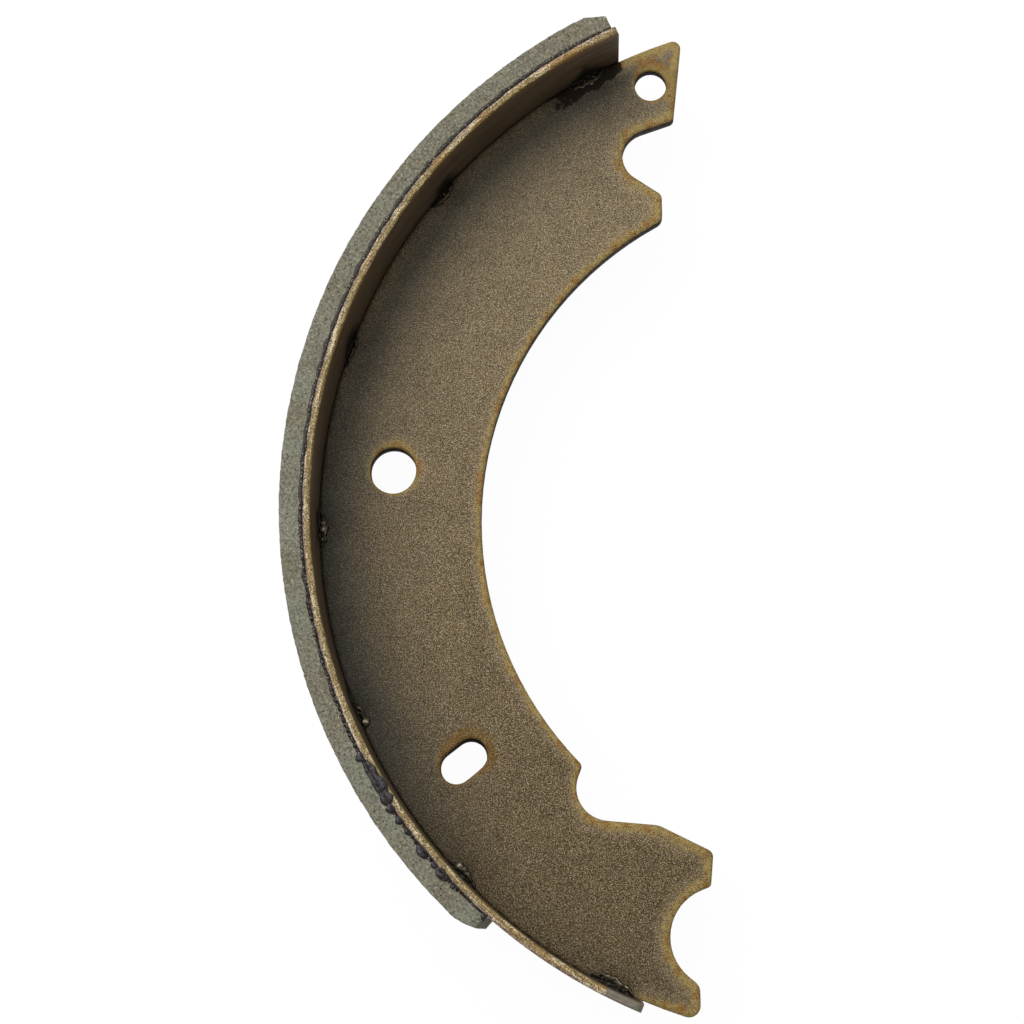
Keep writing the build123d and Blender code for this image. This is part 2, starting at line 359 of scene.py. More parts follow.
def web_finish(colours):
    """Hot-rolled mild steel from the bonding oven: mealy brown scale with painted glints, painted
    shade near the rim, straw and rust tints along its cut edges, and soot round the welds."""
    material, tree = new_finish("scaled_web_steel", 0.15, 0.6, 0.15)
    here = add(tree, "TexCoord", out="Object")
    brown, rim_shade, tint, burnt, soot, char = (
        add(tree, "Attribute", out="Fac", attribute_name=name)
        for name in ("brown", "rim_shade", "tint", "burnt", "soot", "char")
    )
    # Size in mm and detail of each noise
    noises = ((9, 5), (0.55, 3), (3.4, 3), (1.3, 3), (1.1, 2), (0.3, 2))
    mottle, mealy, patch, fine, hue, grain = (
        add(tree, "TexNoise", {"Vector": here, "Scale": 1 / (size * MM), "Detail": detail})
        for size, detail in noises
    )
    grain.node.inputs["Roughness"].default_value = 0.7
    # The scale: browner towards the anchor end, painted shade near the rim, clouds and warm grain
    cloud = add(tree, "MapRange", (mottle, 0.3, 0.7, 0.86, 1.14))
    base = colours.web
    for share, shade, blend in (
        (brown, colours.web_brown, "MIX"),
        (rim_shade, colours.painted_rim_shade, "MIX"),
        (1.0, cloud, "MULTIPLY"),
    ):
        base = add(tree, "Mix", {0: share, 6: base, 7: shade}, data_type="RGBA", blend_type=blend)
    warm = add(tree, "Math", (1, rim_shade), "SUBTRACT")
    olive, umber = (
        add(tree, "Math", (add(tree, "MapRange", (mealy, *ends)), warm), "MULTIPLY")
        for ends in ((0.5, 0.66, 0, 0.3), (0.36, 0.5, 0.4, 0))
    )
    # Heat tints: a straw band with rusty patches and a rosy fringe
    straw = colours.tint_gold
    rusty = add(tree, "MapRange", (patch, 0.5, 0.6, 0, 0.9))
    for share, shade in ((rusty, colours.tint_rust), (burnt, colours.tint_burnt)):
        straw = add(tree, "Mix", {0: share, 6: straw, 7: shade}, data_type="RGBA")
    ragged = add(tree, "Math", (fine, 0.8, -0.4), "MULTIPLY_ADD")
    spread = add(tree, "Math", (tint, ragged), "ADD")
    hold, blush = (
        add(tree, "MapRange", (spread, *ends), interpolation_type="SMOOTHSTEP")
        for ends in ((0.6, 1, 0, 0.9), (0.1, 0.6, 0, 0.3))
    )
    away = add(tree, "Math", (1, burnt), "SUBTRACT")
    blush = add(tree, "Math", (blush, away), "MULTIPLY")
    # Soot, with a crisp edge by the last weld
    crisp = add(tree, "Math", (ragged, 1.5, char), "MULTIPLY_ADD")
    crisp = add(tree, "MapRange", (crisp, 0.3, 0.65, 0, 0.95), interpolation_type="SMOOTHSTEP")
    soot = add(tree, "Math", (soot, crisp), "MAXIMUM")
    # Grain: pits and painted glints, quieter in the painted shade near the rim
    quiet = add(tree, "Math", (rim_shade, -0.75, 1), "MULTIPLY_ADD")
    dark = add(tree, "MapRange", (grain, 0.37, 0.52, 0.85, 0))
    dark = add(tree, "Math", (dark, quiet), "MULTIPLY")
    # Painted glints: pale specks and the palest grain, fewer in soot, in the straw band and in the
    # painted shade
    cells = add(tree, "TexVoronoi", {"Vector": here, "Scale": 1 / (0.55 * MM)})
    speck = add(tree, "MapRange", (cells, 0.12, 0.28, 0.75, 0))
    pale = add(tree, "MapRange", (grain, 0.54, 0.67, 0, 0.75))
    glow = add(tree, "Math", (speck, pale), "MAXIMUM")
    clean = add(tree, "Math", (1, soot), "SUBTRACT")
    veiled = add(tree, "Math", (hold, -0.5, 1), "MULTIPLY_ADD")
    for share in (clean, veiled, quiet):
        glow = add(tree, "Math", (glow, share), "MULTIPLY")
    hue = add(tree, "MapRange", (hue, 0.42, 0.62, 0, 0.4))
    shine = add(tree, "Mix", {0: hue, 6: colours.glint, 7: colours.tint_gold}, data_type="RGBA")
    sheen = add(tree, "MapRange", (grain, 0, 1, 0.75, 0.4))
    tree.links.new(sheen, tree.nodes["Principled BSDF"].inputs["Roughness"])
    coats = (
        (umber, colours.pit),
        (blush, colours.tint_rose),
        (olive, colours.tint_gold),
        (hold, straw),
        (soot, colours.soot),
        (dark, colours.pit),
        (glow, shine),
    )
    return lay_coats(material, base, coats, grain, 0.6, 0.12)


def sheared_finish(colours):
    """The walls that the press cut: dull grey with upright scores, and near black in the holes
    as painted shade.
    """
    material, tree = new_finish("sheared_steel", 0.0, 0.8, 0.1)
    here = add(tree, "TexCoord", out="Object")
    stretch = tuple(1 / (size * MM) for size in (0.6, 0.6, 4))
    drawn = add(tree, "Mapping", {"Vector": here, "Scale": stretch})
    score = add(tree, "TexNoise", {"Vector": drawn, "Scale": 1, "Detail": 3})
    scored = add(tree, "MapRange", (score, 0.3, 0.7, 0.1, 0.9))
    bored = add(tree, "Attribute", out="Fac", attribute_name="bored")
    # The walls of the holes take a near-black colour as painted shade
    coats = ((scored, colours.pit), (bored, colours.hole_wall_shade))
    return lay_coats(material, colours.sheared, coats, score, 0.4, 0.1)


def rim_edge_finish(colours, axis, sizes):
    """The slit edges of the strip: brassy heat tint by the web, pinkish grey by the lining,
    painted glints on the grains, and one bare end."""
    material, tree = new_finish("rolled_strip_edge", 0.25, 0.55)
    rim, bare_length = sizes.rim_outer, 10.5 * MM
    bent, outwards, arc = bent_coordinates(tree, axis, rim)
    stretch = tuple(1 / (size * MM) for size in (0.6, 7, 2))
    drawn = add(tree, "Mapping", {"Vector": bent, "Scale": stretch})
    streak = add(tree, "TexNoise", {"Vector": drawn, "Scale": 1, "Detail": 4})
    grain, patch = (
        add(tree, "TexNoise", {"Vector": bent, "Scale": 1 / (size * MM), "Detail": detail})
        for size, detail in ((0.4, 2), (8, 4))
    )
    grain.node.inputs["Roughness"].default_value = 0.7
    wander = add(tree, "Math", (streak, 1.6 * MM, -0.8 * MM), "MULTIPLY_ADD")
    across = add(tree, "Math", (outwards, wander), "ADD")
    ends = (rim - 0.6 * sizes.rim_thickness, rim - 0.25 * sizes.rim_thickness)
    side = add(tree, "MapRange", (across, *ends), interpolation_type="SMOOTHSTEP")
    # Rusty patches, strong towards both ends
    brown = add(tree, "MapRange", (patch, 0.5, 0.63, 0, 0.55))
    upper = add(tree, "MapRange", (arc, radians(22) * rim, radians(48) * rim, 0.3, 1))
    brown = add(tree, "Math", (brown, upper), "MULTIPLY")
    foot = add(tree, "MapRange", (arc, radians(-44) * rim, radians(-52) * rim, 0, 0.5))
    foot = add(tree, "Math", (foot, patch), "MULTIPLY")
    brown = add(tree, "Math", (brown, foot), "MAXIMUM")
    pits = add(tree, "MapRange", (grain, 0.38, 0.53, 0.8, 0))
    # Painted glints where the grain and the drawn streaks are brightest
    bright = add(tree, "Math", (grain, streak), "ADD")
    spark = add(tree, "MapRange", (bright, 1.02, 1.26, 0, 0.8))
    bare_end = bare_length - sizes.rim_arc / 2 * rim
    bare = add(tree, "MapRange", (arc, bare_end + 0.15 * MM, bare_end - 0.15 * MM))
    coats = (
        (side, colours.rim_grey),
        (brown, colours.tint_rust),
        (pits, colours.pit),
        (spark, colours.rim_glint),
        (bare, colours.bare),
    )
    return lay_coats(material, colours.rim_gold, coats, bright, 0.5, 0.12)


def rim_wall_finish(colours, axis, sizes):
    """The rolled faces of the strip: smooth brown scale, drawn along the rim, brassy by its
    edges, with a burn over each weld."""
    material, tree = new_finish("rolled_strip_face", 0.2, 0.5, 0.3)
    bent, _, arc = bent_coordinates(tree, axis, sizes.rim_outer)
    stretch = tuple(1 / (size * MM) for size in (2, 20, 2.5))
    drawn = add(tree, "Mapping", {"Vector": bent, "Scale": stretch})
    streak = add(tree, "TexNoise", {"Vector": drawn, "Scale": 1, "Detail": 4})
    grain, cloud = (
        add(tree, "TexNoise", {"Vector": bent, "Scale": 1 / (size * MM), "Detail": detail})
        for size, detail in ((0.6, 2), (5, 3))
    )
    shade = add(tree, "MapRange", (streak, 0.3, 0.7, 0, 0.5))
    height = add(tree, "SeparateXYZ", (bent,), out="Z")
    middle = sum(corner.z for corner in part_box("web")) / 2
    above = add(tree, "Math", (height, middle), "SUBTRACT")
    far = add(tree, "Math", (above,), "ABSOLUTE")
    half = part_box("rim")[1].z - middle
    ends = (half - 5 * MM, half, 0, 0.35)
    brassy = add(tree, "MapRange", (far, *ends), interpolation_type="SMOOTHSTEP")
    # The distance from the nearest weld, height counted as less
    first = (sizes.weld_setback - sizes.rim_arc / 2) * sizes.rim_outer
    offset = add(tree, "Math", (arc, first), "SUBTRACT")
    beside = add(tree, "Math", (offset, -first / 6), "PINGPONG")
    squeezed = add(tree, "Math", (above, 0.55), "MULTIPLY")
    reach = add(tree, "CombineXYZ", (beside, squeezed, 0))
    reach = add(tree, "VectorMath", (reach,), "LENGTH")
    ragged = add(tree, "Math", (cloud, 7 * MM, reach), "MULTIPLY_ADD")
    ends = (7 * MM, 11 * MM, 0.95, 0)
    burn = add(tree, "MapRange", (ragged, *ends), interpolation_type="SMOOTHSTEP")
    coats = ((shade, colours.pit), (brassy, colours.tint_rust), (burn, colours.weld))
    return lay_coats(material, colours.rim_wall, coats, grain, 0.3, 0.08)


def lining_finish(colours, axis, sizes):
    """Moulded friction material: grey-green resin and fibre with black pits and pale chips,
    warmer towards the adjuster end."""
    material, tree = new_finish("moulded_friction_lining", 0.0, 0.85)
    inner = sizes.lining_inner
    bent, _, arc = bent_coordinates(tree, axis, inner)
    tone, grain = (
        add(tree, "TexNoise", {"Vector": bent, "Scale": 1 / (size * MM), "Detail": detail})
        for size, detail in ((12, 4), (0.55, 3))
    )
    grain.node.inputs["Roughness"].default_value = 0.65
    warm = add(tree, "MapRange", (tone, 0.4, 0.6, 0, 1))
    upper = add(tree, "MapRange", (arc, radians(30) * inner, radians(60) * inner))
    warm = add(tree, "Math", (warm, upper), "MAXIMUM")
    darker = add(tree, "MapRange", (grain, 0.34, 0.5, 0.7, 0))
    lighter = add(tree, "MapRange", (grain, 0.55, 0.7, 0, 0.6))
    coats = [(warm, colours.lining_warm), (darker, colours.pit), (lighter, colours.chip)]
    # Pits and chips: cell size in mm, spot size as a share of it, strength and colour
    spots = (
        (2.3, 0.08, 0.9, colours.pit),
        (1.2, 0.12, 0.65, colours.pit),
        (2.0, 0.08, 0.8, colours.chip),
    )
    for cell, spread, strength, shade in spots:
        moved = add(tree, "VectorMath", (bent, (cell * MM,) * 3), "ADD")
        cells = add(tree, "TexVoronoi", {"Vector": moved, "Scale": 1 / (cell * MM)})
        spot = add(tree, "MapRange", (cells, spread, 1.7 * spread, strength, 0))
        coats.append((spot, shade))
    return lay_coats(material, colours.lining, coats, grain, 0.6, 0.18)


def adhesive_finish(colours):
    """Cured phenolic adhesive: blue-black and glossy, with a greyer skin and painted sheen on its
    lumps, and painted glints.
    """
    material, tree = new_finish("cured_adhesive", 0.0, 0.33, 0.3)
    here = add(tree, "TexCoord", out="Object")
    swell = add(tree, "Attribute", out="Fac", attribute_name="swell")
    wrinkle = add(tree, "TexNoise", {"Vector": here, "Scale": 1 / (1.1 * MM), "Detail": 3})
    # Greyer skin on the lumps, partly painted sheen
    grey = add(tree, "MapRange", (wrinkle, 0.44, 0.62, 0.15, 1))
    skin_and_sheen = add(tree, "Math", (grey, swell), "MULTIPLY")
    # Painted glints: small pale dots, fewer on the lumps
    glint_cells = add(tree, "TexVoronoi", {"Vector": here, "Scale": 1 / (0.75 * MM)})
    dot = add(tree, "MapRange", (glint_cells, 0.14, 0.26, 0.8, 0))
    away = add(tree, "Math", (swell, -0.8, 1), "MULTIPLY_ADD")
    dot = add(tree, "Math", (dot, away), "MULTIPLY")
    coats = ((skin_and_sheen, colours.adhesive_skin_and_sheen), (dot, colours.chip))
    return lay_coats(material, colours.adhesive, coats, wrinkle, 0.5, 0.2)


def weld_finish(colours):
    """Steel that was melted and thrown out: a black crust with painted shade in its hollows,
    and paler crests, partly painted highlight, with painted glints on the highest.
    """
    material, tree = new_finish("weld_crust", 0.3, 0.4, 0.3)
    here = add(tree, "TexCoord", out="Object")
    rise = add(tree, "Attribute", out="Fac", attribute_name="rise")
    crust = add(tree, "TexNoise", {"Vector": here, "Scale": 1 / (0.8 * MM), "Detail": 3})
    uneven = add(tree, "Math", (crust, 1.3, -0.65), "MULTIPLY_ADD")
    high = add(tree, "Math", (rise, uneven), "ADD")
    # Crests paler by height, partly painted highlight; the highest get painted glints
    crest = add(tree, "MapRange", (high, 0.25, 0.8, 0, 0.95))
    crest_glint = add(tree, "MapRange", (high, 0.84, 1, 0, 0.9))
    coats = ((crest, colours.weld_crest), (crest_glint, colours.glint))
    return lay_coats(material, colours.weld, coats, crust, 0.9, 0.35)


class SHOE_OT_web(bpy.types.Operator):
    """Copies the web, divided finely enough for its tints"""

    bl_idname = "brake_shoe.web"
    bl_label = "Web"

    grid = 1.25 * MM  # spacing of the vertices
    hair = 0.001 * MM  # counts as no distance
    # Gaps between the seat and the rim's wall, in mm: at half the web's thickness, at its
    # corners, and there by the anchor end
    seat_gaps = (0.02, 0.19, 0.05)
    punch_side = Vector((0.4, 0.92, 0))  # the way the punch drew the holes' edges
    # For the hold-down hole, the spring hole and the slot, in mm: where the draw starts to fade,
    # and the draw
    drawn_holes = ((6, 0.2), (3.5, -0.35), (6, 0.7))
    hole_reach = 9 * MM  # a cut edge this near a hole's middle belongs to it
    # Heat tint round the holes and round the slot: the side it grows towards, its growth there,
    # its strength, and how burnt it is
    hole_tint = (Vector((0.75, 0.66, 0)), 1.4, 1.0, 0.3)
    slot_tint = (Vector((0.35, 0.94, 0)), 1.9, 1.2, 0.85)

    def execute(self, context):
        sizes, colours, axis = settings()
        low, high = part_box("web")
        mesh = bmesh.new()
        mesh.from_mesh(frame["nodes"]["web"].data)
        bmesh.ops.remove_doubles(mesh, verts=mesh.verts, dist=2 * self.hair)
        bmesh.ops.dissolve_limit(mesh, angle_limit=radians(0.5), verts=mesh.verts, edges=mesh.edges)
        cuts = []
        for across in (Vector((0, 1, 0)), Vector((1, 0, 0))):
            level = across.dot(low) + self.grid
            while level < across.dot(high):
                cuts.append((level * across, across))
                level += self.grid
        for at, across in [*cuts, ((low + high) / 2, Vector((0, 0, 1)))]:
            whole = [*mesh.verts, *mesh.edges, *mesh.faces]
            bmesh.ops.bisect_plane(mesh, geom=whole, dist=self.hair, plane_co=at, plane_no=across)
        for face in mesh.faces:
            face.material_index = 1 if abs(face.normal.z) < 0.3 else 0
        self.paint_tints(mesh, sizes, axis)
        self.press_to_rim(mesh, sizes, axis, (low.z + high.z) / 2)
        self.roll_holes(mesh, high.z)
        materials = [web_finish(colours), sheared_finish(colours)]
        finish_piece(mesh, "stamped_web", materials, ["web"], sharp=50)
        return {"FINISHED"}

    def press_to_rim(self, mesh, sizes, axis, middle):
        """Swells the web's seat at half its thickness, so that no gap shows there, and brings
        its corners closer to the wall, most of all by the anchor end."""
        wall = sizes.rim_outer - sizes.rim_thickness
        for vert in mesh.verts:
            angle, radius = polar(axis, vert.co)
            if radius > wall - sizes.web_gap - 0.1 * MM:
                half_way, corner, foot = self.seat_gaps
                corner -= (corner - foot) * smooth((radians(-42) - angle) / radians(6))
                target = wall - (half_way if abs(vert.co.z - middle) < 0.1 * MM else corner) * MM
                share = smooth((sizes.rim_arc / 2 - abs(angle)) * wall / MM)
                vert.co = place(axis, angle, radius + share * (target - radius), vert.co.z)

    def roll_holes(self, mesh, top):
        """Draws the holes' upper edges back, as the punch left them."""
        holes = self.hole_centres()
        for vert in mesh.verts:
            if vert.co.z > top - MM:
                flat = vert.co.xy.to_3d()
                for hole, (full, drawn) in zip(holes, self.drawn_holes):
                    away = flat - hole
                    facing = smooth(0.5 + 0.7 * away.normalized().dot(self.punch_side))
                    share = facing * (1 - smooth((away.length / MM - full) / 5))
                    vert.co += self.punch_side * drawn * MM * share

    def paint_tints(self, mesh, sizes, axis):
        """Gives each vertex its shares of tint, soot, a browner tone and painted shade near the
        rim.
        """
        wall = sizes.rim_outer - sizes.rim_thickness
        seat = wall - sizes.web_gap
        holes = self.hole_centres()
        samples = []
        for edge in mesh.edges:
            first, second = (vert.co for vert in edge.verts)
            upright = abs(first.z - second.z) > 0.01 * MM
            if upright or all(abs(face.normal.z) > 0.9 for face in edge.link_faces):
                continue
            angle, radius = polar(axis, (first + second) / 2)
            if radius > seat - 0.7 * MM and abs(angle) < sizes.rim_arc / 2:
                continue
            parts = max(1, int(edge.calc_length() / (0.4 * MM)))
            samples += [first.lerp(second, part / parts) for part in range(parts)]
        tree = kdtree.KDTree(len(samples))
        for index, point in enumerate(samples):
            tree.insert(point.xy.to_3d(), index)
        tree.balance()
        tint, burnt, bored, soot, char, brown, rim_shade = (
            mesh.verts.layers.float.new(name)
            for name in ("tint", "burnt", "bored", "soot", "char", "brown", "rim_shade")
        )
        low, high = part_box("web")
        for vert in mesh.verts:
            flat = vert.co.xy.to_3d()
            angle, radius = polar(axis, flat)
            nearest, _, gap = tree.find(flat)
            hole = min(holes, key=lambda centre: (centre - nearest).length)
            tips = smooth((flat.x - low.x) / (high.x - low.x) * 2.5 - 1.4)
            reach, strength = (4.3 + 3.2 * tips) * MM * (1 + 0.5 * noise.noise(flat * 110)), 1.0
            if (hole - nearest).length < self.hole_reach:
                tints = self.slot_tint if hole == holes[2] else self.hole_tint
                burnt_side, growth, strength, vert[burnt] = tints
                facing = max(0.5 + 0.5 * (flat - hole).normalized().dot(burnt_side), 0)
                reach *= 0.1 + growth * facing**1.5 * (1 + 0.45 * noise.noise(flat * 420))
                # Marks the walls of the holes, which get the painted shade
                vert[bored] = 1.0
            past = angle - sizes.rim_arc / 2
            tip = 0.4 * smooth((past + radians(1.5)) / radians(3.5))
            vert[tint] = max(strength * (1 - smooth(gap / reach)), tip)
            wide = 1 + 0.5 * noise.noise(flat * 160)
            darkness = 0.0
            for weld in weld_angles(sizes):
                near = (flat - place(axis, weld, seat, 0)).length
                darkness = max(darkness, 0.42 * exp(-((near / (5.5 * MM * wide)) ** 2)))
            vert[soot] = darkness
            depth = wall - radius
            vert[char] = self.burn_by_adjuster(flat, past, depth)
            # Darker and browner towards the anchor end
            vert[brown] = min(max((0.1 - flat.y) / 0.19, 0), 1)
            # Painted shade near the rim wall: fades over about 18 mm, eased close to the wall on
            # the upper part and towards the anchor end
            lit = smooth((angle - radians(2)) / radians(28)) * (1 - smooth(depth / (7 * MM)))
            shaded = 0.94 * exp(-((depth / (18 * MM)) ** 2)) * (1 - 0.7 * lit)
            vert[rim_shade] = shaded * (1 - 0.75 * smooth((radians(-22) - angle) / radians(32)))

    def burn_by_adjuster(self, flat, past, depth):
        """The black patch on the web by the last weld, sharp only towards the tip."""
        before = smooth((radians(0.3) - past) / radians(0.5))
        after = smooth((past + radians(12.5)) / radians(7))
        wander = noise.noise(flat * 260) + 0.5 * noise.noise(flat * 700)
        reach = (4.9 - 1.3 * smooth(past / radians(4) + 1) + 1.2 * wander) * MM
        return before * after * smooth((reach - depth) / (1.6 * MM) + 0.5)

    def hole_centres(self):
        """The middles of the two round holes and of the slot, from the mounts."""
        names = ("hold_down_hole", "spring_hole", "lever_slot")
        mounts = {mount["name"]: mount["pos_m"] for mount in frame["record"]["mounts"]}
        return [Vector((*mounts[name][:2], 0)) for name in names]


class SHOE_OT_rim(bpy.types.Operator):
    """Rolls the rim, with drawn grooves in its side edges and rounded corners"""

    bl_idname = "brake_shoe.rim"
    bl_label = "Rim"

    crowding = 3 * MM  # vertices crowd together this near an end
    mark_depth = 0.1 * MM  # of the grooves, and again of the dents
    nick_depth = 0.5 * MM

    def execute(self, context):
        sizes, colours, axis = settings()
        low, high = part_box("rim")
        inner, outer = sizes.rim_outer - sizes.rim_thickness, sizes.rim_outer
        half = sizes.rim_arc / 2
        mesh = bmesh.new()
        bounds = ((inner, outer), (low.z, high.z), (-half, half))
        sweep(mesh, axis, *bounds, sizes.rim_round, (0.22 * MM, 2.5 * MM), 0.5 * MM)
        middle, straight = (low.z + high.z) / 2, (high.z - low.z) / 2 - sizes.rim_corner
        for vert in mesh.verts:
            angle, radius = polar(axis, vert.co)
            height, up = abs(vert.co.z - middle), 1 if vert.co.z > middle else -1
            inset = (half - abs(angle)) * outer
            if inset < self.crowding:
                inset = max(inset, 0) ** 2 / self.crowding
                angle = (half - inset / outer) * (1 if angle > 0 else -1)
            if inset < sizes.rim_corner and height > straight:
                rounded = sqrt(sizes.rim_corner**2 - (sizes.rim_corner - inset) ** 2)
                height = straight + (height - straight) * rounded / sizes.rim_corner
            edge = smooth((height - straight) / (1.2 * MM))
            along = angle * outer
            groove = waver(radius / (0.5 * MM), along / (14 * MM), up * 7)
            dent = waver(radius / (0.9 * MM), along / (1.6 * MM), up * 3)
            height -= edge * self.mark_depth * (smooth(0.5 + groove) + smooth(0.5 + dent))
            nick = max(waver(along / (2.4 * MM), up * 5, 0) - 0.35, 0)
            radius += edge * self.nick_depth * nick * (1 if radius < (inner + outer) / 2 else -1)
            vert.co = place(axis, angle, radius, middle + up * height)
        for face in mesh.faces:
            far = abs(face.calc_center_median().z - middle)
            face.material_index = 0 if far > (high.z - low.z) / 2 - 1.3 * MM else 1
        materials = [rim_edge_finish(colours, axis, sizes), rim_wall_finish(colours, axis, sizes)]
        finish_piece(mesh, "rolled_rim", materials, ["rim"], sharp=60)
        return {"FINISHED"}


class SHOE_OT_lining(bpy.types.Operator):
    """Moulds the lining, with chamfered ends and a crumbled surface"""

    bl_idname = "brake_shoe.lining"
    bl_label = "Lining"

    crowding = 4 * MM  # vertices crowd together this near the lower end
    face_loss = 0.12 * MM  # crumbled off the friction face, and again at its edges
    side_loss = 0.07 * MM  # crumbled off the sides' edges

    def execute(self, context):
        sizes, colours, axis = settings()
        low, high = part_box("lining")
        inner, outer = sizes.lining_inner, sizes.lining_inner + sizes.lining_thickness
        top, foot = sizes.lining_top, sizes.lining_foot
        middle, half = (low.z + high.z) / 2, (high.z - low.z) / 2
        mesh = bmesh.new()
        bounds = ((inner, outer), (low.z, high.z), (foot, top))
        sweep(mesh, axis, *bounds, 0.35 * MM, (0.7 * MM, 1.2 * MM), 0.8 * MM)
        for vert in mesh.verts:
            angle, radius = polar(axis, vert.co)
            inset = max(angle - foot, 0) * outer
            if inset < self.crowding:
                inset = inset**2 / self.crowding
                angle = foot + inset / outer
            drop = sizes.top_chamfer_depth * (1 - (top - angle) * outer / sizes.top_chamfer_run)
            worn = max(1 - (angle - foot) * outer / (1.5 * sizes.foot_chamfer_run), 0) ** 1.6
            drop = max(drop, 1.15 * sizes.foot_chamfer_depth * worn)
            share = (radius - inner) / (outer - inner)
            radius -= share * drop
            crumble = sum(noise.noise(vert.co / (size * MM)) * 0.5 for size in (1.6, 0.8))
            edge = smooth((share - 0.9) * 10)
            radius -= share * self.face_loss * (1 + edge) * (0.6 + crumble)
            level = vert.co.z
            up = 1 if level > middle else -1
            side = smooth((abs(level - middle) - half + MM) / (0.9 * MM))
            level -= up * side * self.side_loss * (0.6 + crumble)
            bend = sizes.foot_round
            if inset < bend:
                worn = bend - sqrt(bend**2 - (bend - inset) ** 2)
                level -= up * worn * smooth((abs(level - middle) / (2 * half) - 0.4) * 10)
            vert.co = place(axis, angle, radius, level)
        finish_piece(mesh, "friction_lining", [lining_finish(colours, axis, sizes)], ["lining"])
        return {"FINISHED"}


class SHOE_OT_adhesive(bpy.types.Operator):
    """Lays the bond line, its uneven beads and the lumps near the anchor end"""

    bl_idname = "brake_shoe.adhesive"
    bl_label = "Adhesive"

    # Swellings of the bead: angle on the shoe in degrees, half length, reach over the rim, reach
    # over the lining and extra height, in mm
    swellings = (
        (-26.9, 1.1, 0.3, 1.2, 0.35),
        (-29.9, 6.6, 1.6, 0.5, 0.1),
        (-30.4, 3.2, 2.1, 0.7, 0.2),
        (-32.0, 1.5, 1.6, 0.9, 0.25),
        (-33.1, 1.0, 0.4, 1.2, 0.35),
        (-34.6, 0.9, 0.2, 0.9, 0.3),
        (-36.0, 0.7, 0.1, 0.5, 0.2),
        (-38.6, 1.9, 0.3, 1.3, 0.35),
        (-40.4, 0.9, 0.1, 0.6, 0.2),
        (-41.7, 2.0, 0.6, 1.3, 0.4),
        (-43.3, 0.8, 0.1, 0.6, 0.2),
        (-48.0, 1.7, 0.2, 1.2, 0.1),
    )

    def execute(self, context):
        sizes, colours, axis = settings()
        low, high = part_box("lining")
        ends = (sizes.lining_foot, sizes.lining_top)
        mesh = bmesh.new()
        bounds = ((sizes.rim_outer, sizes.lining_inner), (low.z, high.z), ends)
        sweep(mesh, axis, *bounds, 0.05 * MM, (12 * MM, 12 * MM), 3 * MM)
        for level, up in ((high.z, 1), (low.z, -1)):
            take_in(mesh, self.bead(axis, sizes, ends, level, up))
        swell = mesh.verts.layers.float.new("swell")
        for vert in mesh.verts:
            angle, _ = polar(axis, vert.co)
            vert[swell] = self.swollen(angle * sizes.rim_outer, sizes.rim_outer)[3]
        finish_piece(mesh, "bond_adhesive", [adhesive_finish(colours)], ["bond"], sharp=80)
        return {"FINISHED"}

    def swollen(self, along, bend):
        """What the swellings add over the rim, over the lining and in height, and their share."""
        over_rim = over_lining = extra = whole = 0.0
        for turned, long, rim_reach, lining_reach, rise in self.swellings:
            gap = abs(along - radians(turned) * bend) / (long * MM)
            share = sqrt(1 - gap * gap) if gap < 1 else 0.0
            over_rim = max(over_rim, share * rim_reach)
            over_lining = max(over_lining, share * lining_reach)
            extra = max(extra, share * rise)
            whole = max(whole, smooth(1.5 * share))
        return over_rim, over_lining, extra, whole

    def bead(self, axis, sizes, ends, level, up):
        """One bead along a side edge: it wanders, and swells by the anchor end."""
        mesh = bmesh.new()
        middle, half = sizes.rim_outer + 0.2 * MM, 0.5 * MM
        bounds = ((middle - half, middle + half), (level - half, level + half), ends)
        sweep(mesh, axis, *bounds, 0.35 * MM, (0.15 * MM, 0.25 * MM), 0.3 * MM)
        for vert in mesh.verts:
            angle, radius = polar(axis, vert.co)
            along = angle * middle
            lower = smooth((radians(12) - angle) / radians(30))
            pearl = abs(waver(along / (1.5 * MM), up, 0)) * (0.7 + 1.3 * lower)
            wave = waver(along / (3.2 * MM), up, 5)
            over_rim, over_lining, extra, whole = self.swollen(along, middle)
            pearl *= (1 - whole) * smooth((angle - radians(-46)) / radians(3))
            thin = 1 - 0.5 * smooth((radians(-43.5) - angle) / radians(1))
            rough = 1 + 0.2 * waver(along / (2 * MM), up, 3)
            start = smooth((sizes.lining_top - angle) * middle / (14 * MM))
            wavy = thin * (1 + 0.8 * wave)
            out = (0.16 + 0.3 * start - 0.08 * lower) * wavy + 0.3 * pearl + over_lining * rough
            inwards = 0.2 + 0.3 * start * wavy + over_rim * rough
            tall = 0.2 + 0.1 * wave * (1 - whole) + 0.25 * pearl + extra
            drift = 0.35 * waver(along / (4 * MM), up, 9) * (1 - whole) * start
            across = (radius - middle) / half
            radius = middle + (drift + across * (out if across > 0 else inwards)) * MM
            above = up * (vert.co.z - level) / half
            lift = 0.45 * MM * smooth((sizes.rim_outer - radius) / (0.4 * MM) + 0.3)
            wrinkle = 0.14 * MM * waver(radius / (0.8 * MM), along / MM, up)
            height = tall * MM * above + lift + wrinkle if above > 0 else above * 0.2 * MM
            vert.co = place(axis, angle, radius, max(level + up * height, 0.05 * MM))
        return mesh


